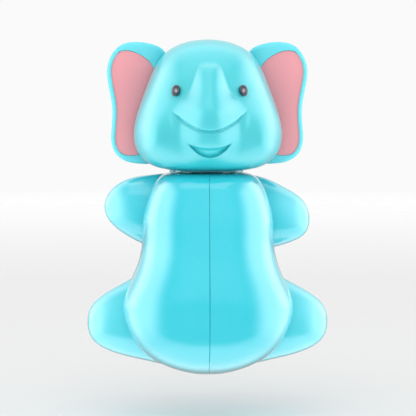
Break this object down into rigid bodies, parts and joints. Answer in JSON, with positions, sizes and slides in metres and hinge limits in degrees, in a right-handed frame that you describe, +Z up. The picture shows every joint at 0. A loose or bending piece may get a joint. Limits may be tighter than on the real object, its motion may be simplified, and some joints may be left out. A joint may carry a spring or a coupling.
{
  "type": "toothbrush cover",
  "caption": "Wall-mounted toothbrush cover shaped as a sitting elephant, with hinged body doors that close round the brush and a suction cup behind.",
  "frame": {"origin": "centre of the suction cup's lip, on the wall", "axes": "+Z up, -Y out of the wall towards the viewer, +X to the viewer's right"},
  "size_m": [0.0558, 0.039, 0.0771],
  "materials": {
    "shell_blue": "glossy light blue moulded plastic",
    "lining_pink": "glossy pink moulded plastic",
    "eye_grey": "glossy dark grey",
    "cup_clear": "smooth soft clear vinyl",
    "steel": "satin steel wire"
  },
  "bodies": {
    "frame": {"spine_frame": "shell_blue", "head_front": "shell_blue", "head_rear": "shell_blue", "ear_left": "shell_blue", "ear_right": "shell_blue", "ear_lining_left": "lining_pink", "ear_lining_right": "lining_pink", "eye_left": "eye_grey", "eye_right": "eye_grey", "hinge_pin_left": "steel", "hinge_pin_right": "steel", "suction_cup": "cup_clear", "head_screws": "steel"},
    "door_left": {"door_skin_left": "shell_blue", "door_liner_left": "shell_blue"},
    "door_right": {"door_skin_right": "shell_blue", "door_liner_right": "shell_blue"}
  },
  "joints": [
    {"name": "left_door_hinge", "type": "hinge", "parent": "frame", "child": "door_left", "pos_m": [-0.0065, -0.0108, 0], "axis": [0, 0, -1], "range_deg": [0, 28]},
    {"name": "right_door_hinge", "type": "hinge", "parent": "frame", "child": "door_right", "pos_m": [0.0065, -0.0108, 0], "axis": [0, 0, 1], "range_deg": [0, 28]}
  ]
}
